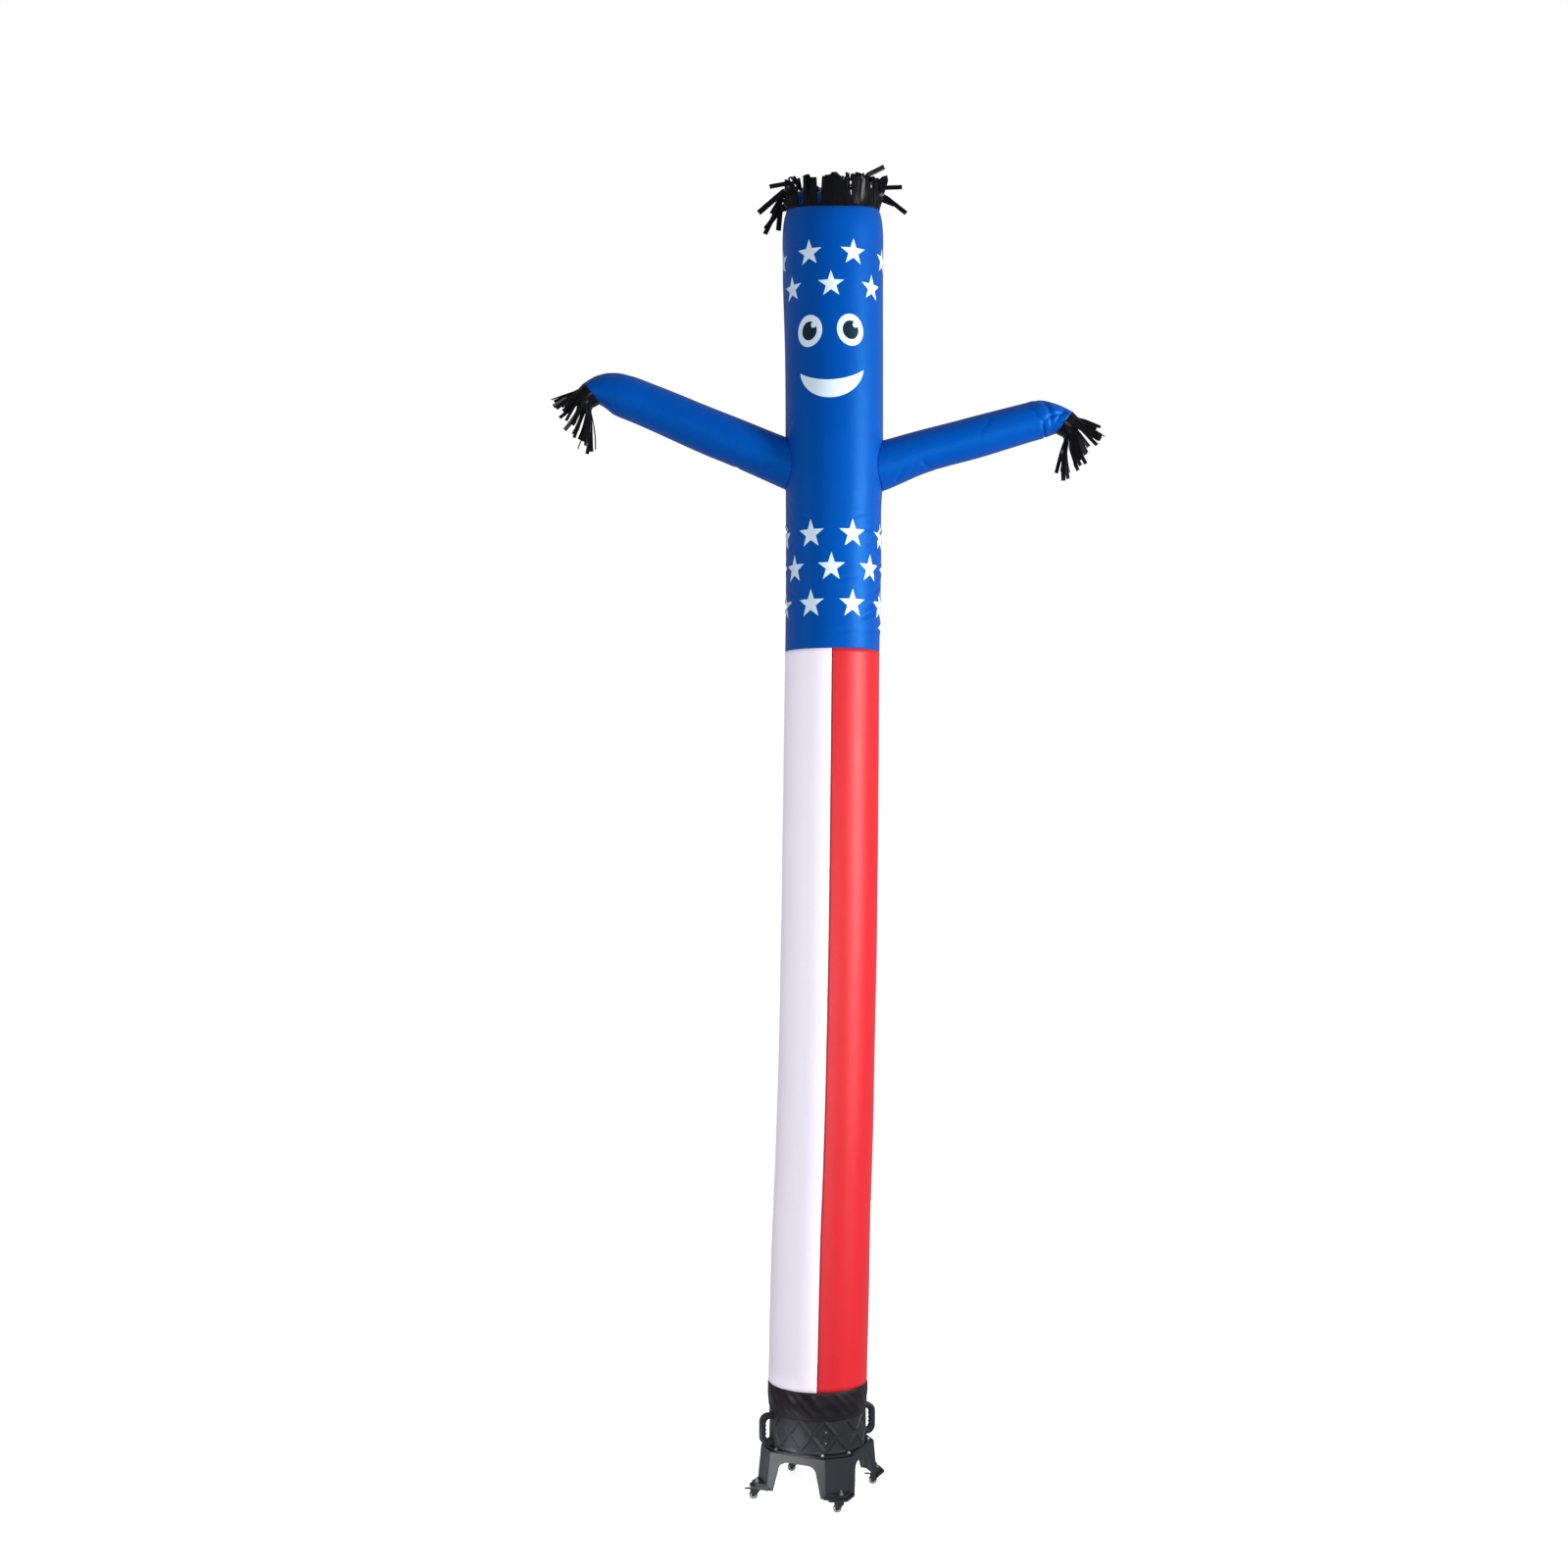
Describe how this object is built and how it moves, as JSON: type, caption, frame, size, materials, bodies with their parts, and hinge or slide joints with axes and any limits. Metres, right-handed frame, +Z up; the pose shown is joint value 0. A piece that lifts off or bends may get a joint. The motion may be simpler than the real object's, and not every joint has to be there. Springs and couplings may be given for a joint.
{
  "type": "inflatable air dancer on a wheeled blower",
  "caption": "Tall inflated nylon tube figure with two raised arms, strip fringes and a printed smile, standing on a round floor blower with swivel casters.",
  "frame": {"origin": "on the floor under the middle of the whole reach, from fringe tip to fringe tip", "axes": "+Z up, the printed face towards -Y, +X to the right of someone who looks at the face"},
  "size_m": [2.5597, 0.6366, 6.1598],
  "materials": {
    "blue_nylon": "satin",
    "white_nylon": "satin",
    "red_nylon": "satin",
    "black_nylon": "satin",
    "black_fringe": "gloss",
    "charcoal_plastic": "matte",
    "hook_band": "matte",
    "black_wire": "satin",
    "zinc_steel": "satin",
    "black_steel": "satin",
    "wheel_rubber": "matte"
  },
  "bodies": {
    "dancer": {"upper_tube": "blue_nylon", "head_cap": "blue_nylon", "arm_left": "blue_nylon", "arm_right": "blue_nylon", "panel_white": "white_nylon", "panel_red": "red_nylon", "collar": "black_nylon", "head_fringe": "black_fringe", "hand_fringe_left": "black_fringe", "hand_fringe_right": "black_fringe", "stand": "charcoal_plastic", "drum": "charcoal_plastic", "rim": "charcoal_plastic", "hook_band": "hook_band", "grille": "black_wire", "handle_left": "charcoal_plastic", "handle_right": "charcoal_plastic", "base_bolt_1": "zinc_steel", "base_bolt_2": "zinc_steel", "base_bolt_3": "zinc_steel", "base_bolt_4": "zinc_steel", "base_bolt_5": "zinc_steel", "base_bolt_6": "zinc_steel", "base_bolt_7": "zinc_steel", "base_bolt_8": "zinc_steel", "tether_plate": "charcoal_plastic", "tether_ring": "zinc_steel", "caster_1_stem": "zinc_steel", "caster_2_stem": "zinc_steel", "caster_3_stem": "zinc_steel", "caster_4_stem": "zinc_steel"},
    "caster_1_fork_body": {"caster_1_fork": "zinc_steel"},
    "caster_1_wheel_body": {"caster_1_wheel": "wheel_rubber"},
    "caster_1_pedal_body": {"caster_1_pedal": "black_steel"},
    "caster_2_fork_body": {"caster_2_fork": "zinc_steel"},
    "caster_2_wheel_body": {"caster_2_wheel": "wheel_rubber"},
    "caster_2_pedal_body": {"caster_2_pedal": "black_steel"},
    "caster_3_fork_body": {"caster_3_fork": "zinc_steel"},
    "caster_3_wheel_body": {"caster_3_wheel": "wheel_rubber"},
    "caster_3_pedal_body": {"caster_3_pedal": "black_steel"},
    "caster_4_fork_body": {"caster_4_fork": "zinc_steel"},
    "caster_4_wheel_body": {"caster_4_wheel": "wheel_rubber"},
    "caster_4_pedal_body": {"caster_4_pedal": "black_steel"}
  },
  "joints": [
    {"name": "caster_1_swivel", "type": "hinge", "parent": "dancer", "child": "caster_1_fork_body", "pos_m": [0.05061, -0.28191, 0.0547], "axis": [0, 0, 1], "continuous": true},
    {"name": "caster_1_spin", "type": "hinge", "parent": "caster_1_fork_body", "child": "caster_1_wheel_body", "pos_m": [0.03261, -0.28191, 0.019], "axis": [0, 1, 0], "continuous": true},
    {"name": "caster_1_brake", "type": "hinge", "parent": "caster_1_fork_body", "child": "caster_1_pedal_body", "pos_m": [0.02411, -0.28191, 0.0405], "axis": [0, -1, 0], "range_deg": [0, 12]},
    {"name": "caster_2_swivel", "type": "hinge", "parent": "dancer", "child": "caster_2_fork_body", "pos_m": [0.22991, 0.10261, 0.0547], "axis": [0, 0, 1], "continuous": true},
    {"name": "caster_2_spin", "type": "hinge", "parent": "caster_2_fork_body", "child": "caster_2_wheel_body", "pos_m": [0.21191, 0.10261, 0.019], "axis": [0, 1, 0], "continuous": true},
    {"name": "caster_2_brake", "type": "hinge", "parent": "caster_2_fork_body", "child": "caster_2_pedal_body", "pos_m": [0.20341, 0.10261, 0.0405], "axis": [0, -1, 0], "range_deg": [0, 12]},
    {"name": "caster_3_swivel", "type": "hinge", "parent": "dancer", "child": "caster_3_fork_body", "pos_m": [-0.15461, 0.28191, 0.0547], "axis": [0, 0, 1], "continuous": true},
    {"name": "caster_3_spin", "type": "hinge", "parent": "caster_3_fork_body", "child": "caster_3_wheel_body", "pos_m": [-0.17261, 0.28191, 0.019], "axis": [0, 1, 0], "continuous": true},
    {"name": "caster_3_brake", "type": "hinge", "parent": "caster_3_fork_body", "child": "caster_3_pedal_body", "pos_m": [-0.18111, 0.28191, 0.0405], "axis": [0, -1, 0], "range_deg": [0, 12]},
    {"name": "caster_4_swivel", "type": "hinge", "parent": "dancer", "child": "caster_4_fork_body", "pos_m": [-0.33391, -0.10261, 0.0547], "axis": [0, 0, 1], "continuous": true},
    {"name": "caster_4_spin", "type": "hinge", "parent": "caster_4_fork_body", "child": "caster_4_wheel_body", "pos_m": [-0.35191, -0.10261, 0.019], "axis": [0, 1, 0], "continuous": true},
    {"name": "caster_4_brake", "type": "hinge", "parent": "caster_4_fork_body", "child": "caster_4_pedal_body", "pos_m": [-0.36041, -0.10261, 0.0405], "axis": [0, -1, 0], "range_deg": [0, 12]}
  ]
}
